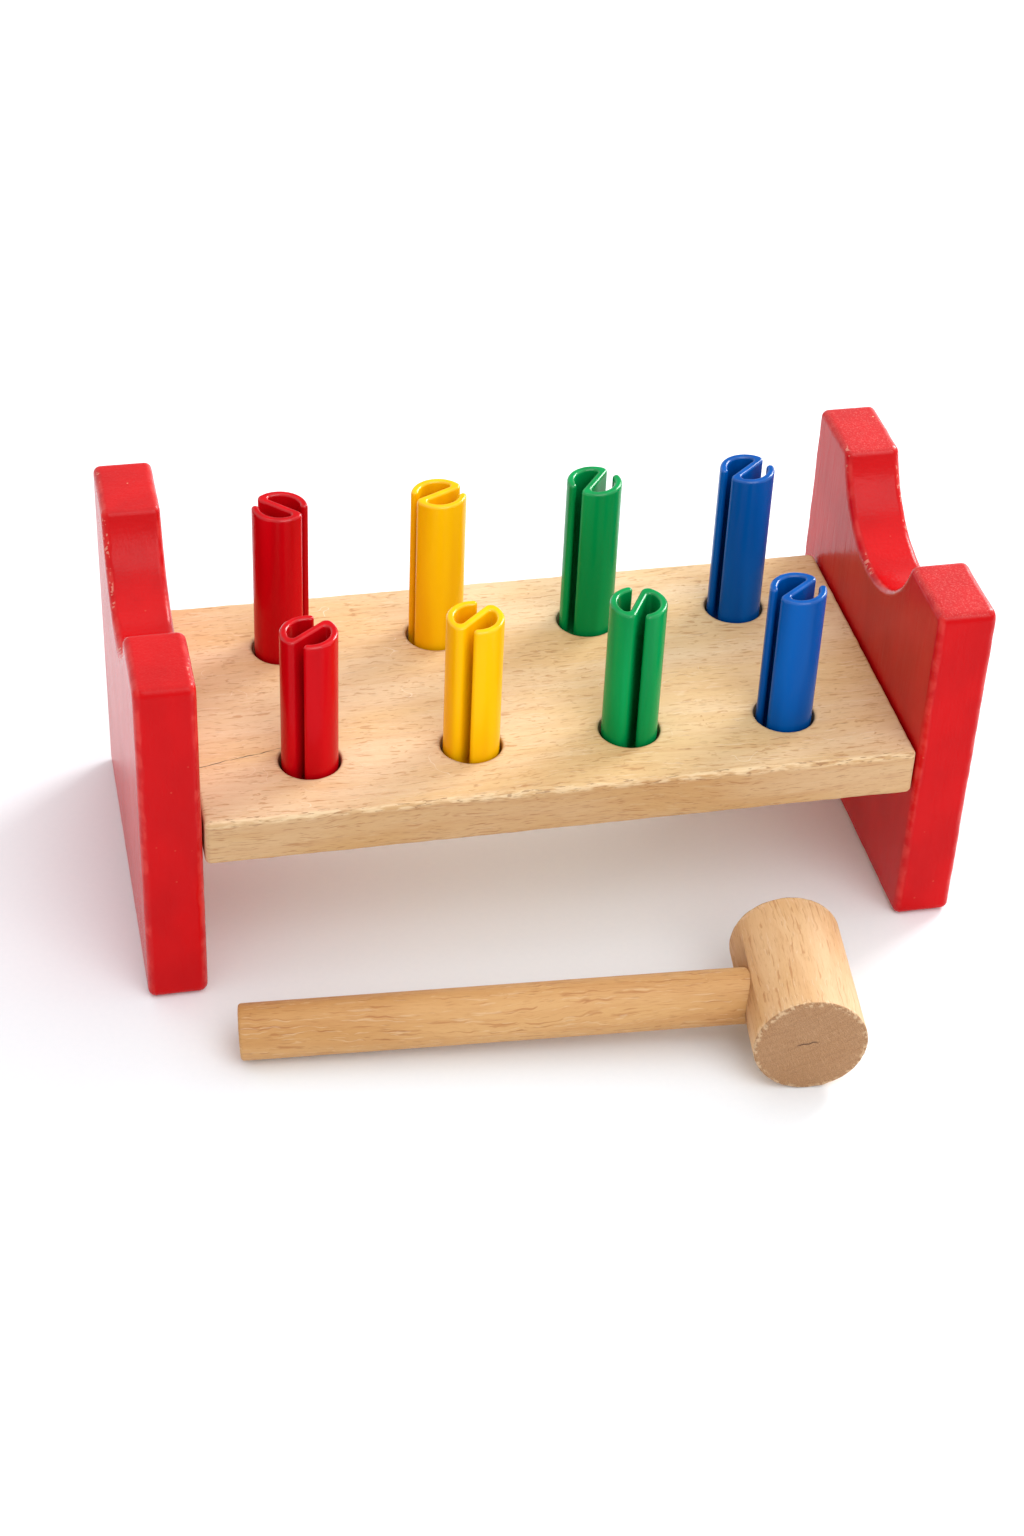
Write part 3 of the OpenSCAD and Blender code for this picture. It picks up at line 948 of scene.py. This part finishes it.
# %% Stand the pegs in their holes
PEG_TURNS = {
    "red_peg_front": (57, False),
    "yellow_peg_front": (62, False),
    "green_peg_front": (79, False),
    "blue_peg_front": (17, True),
    "red_peg_back": (-25, False),
    "yellow_peg_back": (7, True),
    "green_peg_back": (33, True),
    "blue_peg_back": (21, True),
}

for number, (node, (turn, flipped)) in enumerate(PEG_TURNS.items()):
    colour, _, row = node.split("_")
    low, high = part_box(node)
    place = Matrix.Translation(peg_spots[node]) @ Matrix.Rotation(math.radians(turn), 4, "Z")
    length = (high.z - low.z) / MM
    peg = cut_slab(node + "_rod", [(peg_outline(flipped), PEG_RIM)], length, plastics[colour],
                   place, land=PEG_LAND, wear=PEG_WEAR, wear_size=3.0, seed=float(number))
    report(peg)
    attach(peg, f"{colour}_{row}_peg")
    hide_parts(node)
    colour + "_plastic"

# %% [markdown]
# ## The mallet
#
# Head and handle are both round, so their outlines are circles. The head is bored from the side for the
# handle with a Boolean, a hair wider than the handle, which leaves the thin dark line that a glued
# joint shows. The rims of the head wander more than any other, because end grain crumbles when it is
# struck.

# %% Turn and bore the head
HEAD_RIM = 0.7
HANDLE_RIM = 0.9
ROUND_LAND = 0.25
BORE_GAP = 0.12
BORE_RIM = 0.1
BORE_LAND = 0.1
BORE_EXTRA = 1.0
ALONG_HEAD = Matrix.Rotation(math.radians(90), 4, "X")
ALONG_HANDLE = Matrix.Rotation(math.radians(90), 4, "Y")


def circle(radius):
    """A closed circle, counter-clockwise."""
    return closed(arc(0.0, 0.0, radius, 0, 360))


def along_handle(start, end):
    """The place of a round piece from start to end along the handle, in millimetres from the head."""
    return mallet_frame @ Matrix.Translation(((start + end) / 2 * MM, 0, 0)) @ ALONG_HANDLE


head = cut_slab("mallet_head_turned", [(circle(head_radius), HEAD_RIM)], HEAD_LENGTH, head_beech,
                mallet_frame @ ALONG_HEAD, land=ROUND_LAND, wear=0.9, wear_size=1.6, seed=21.0)

bore_end = HANDLE_PAST + BORE_EXTRA
bore = cut_slab("bore", [(circle(HANDLE_RADIUS + BORE_GAP), BORE_RIM)], head_radius + bore_end, head_beech,
                along_handle(bore_end, -head_radius), land=BORE_LAND)
cut = head.modifiers.new("bore", "BOOLEAN")
cut.operation = "DIFFERENCE"
cut.solver = "EXACT"
cut.object = bore
bored = bpy.data.meshes.new_from_object(head.evaluated_get(bpy.context.evaluated_depsgraph_get()))
head.modifiers.remove(cut)
head.data = bored
bpy.data.objects.remove(bore)
report(head)

# %% Turn the handle and hand over both
handle = cut_slab("mallet_handle_turned", [(circle(HANDLE_RADIUS), HANDLE_RIM)], handle_out + HANDLE_PAST,
                  handle_beech, along_handle(HANDLE_PAST, -handle_out), land=ROUND_LAND, wear=0.4,
                  wear_size=2.0, seed=12.0)
report(handle)

for piece, node, slot in ((head, "mallet_head", "mallet_head_beech"),
                          (handle, "mallet_handle", "mallet_handle_beech")):
    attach(piece, "mallet")
    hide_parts(node)

# %% [markdown]
# ## Floor and light
#
# The toy stands on plain white paper in a small studio. A broad light overhead gives the soft, even
# shade. A smaller and stronger one behind and to the right brightens the tops of the panels and the
# rims of the pegs and lets the shadows fall towards the front left. A third one in front keeps the
# fronts from going dull. The white room gives much of the light itself, so that no shadow is deep, not
# even under the board.

# %% Lay the paper
PAPER_SIZE = 6.0
PAPER_DROP = 0.05 * MM


def paper():
    """White paper with a faint mottle of fibres."""
    material, graph = new_material("white_paper")
    space = grain_space(graph, (0.0, 0.0, 0.0))
    fibre = lumps(graph, space, (1.5, 1.5, 1.5), 2.0)
    finish_material(graph, {"Base Color": mixed(graph, fibre, tint(242, 246, 250), tint(246, 249, 252)),
                            "Roughness": 0.9, "Specular IOR Level": 0.2})
    return material


half = PAPER_SIZE / 2
sheet_mesh = bpy.data.meshes.new("paper")
corners = [(-half, -half, 0), (half, -half, 0), (half, half, 0), (-half, half, 0)]
sheet_mesh.from_pydata(corners, [], [(0, 1, 2, 3)])
sheet_mesh.transform(Matrix.Translation((0.0, 0.0, -PAPER_DROP)))
sheet = bpy.data.objects.new("paper", sheet_mesh)
sheet_mesh.materials.append(paper())
bpy.context.scene.collection.objects.link(sheet)
print("paper:", PAPER_SIZE, "m wide")


# %% Hang the lights
def softbox(name, place, size, power):
    """A square light that faces the middle of the bench."""
    light = bpy.data.lights.new(name, "AREA")
    light.shape = "SQUARE"
    light.size = size
    light.energy = power
    lamp = bpy.data.objects.new(name, light)
    lamp.location = Vector(place)
    lamp.rotation_mode = "QUATERNION"
    lamp.rotation_quaternion = (bench_middle - lamp.location).to_track_quat("-Z", "Y")
    bpy.context.scene.collection.objects.link(lamp)


softbox("overhead", (0.1, 0.15, 1.4), 1.4, 4.0)
softbox("back_right", (1.05, 0.75, 0.8), 0.6, 16.0)
softbox("front", (0.35, -0.95, 1.2), 1.0, 8.0)

# %% Light the room
world = bpy.data.worlds.new("studio")
world.use_nodes = True
room = world.node_tree.nodes["Background"]
room.inputs["Color"].default_value = (1.0, 1.0, 1.0, 1.0)
room.inputs["Strength"].default_value = 0.8
bpy.context.scene.world = world
bpy.context.scene.view_settings.view_transform = "Standard"
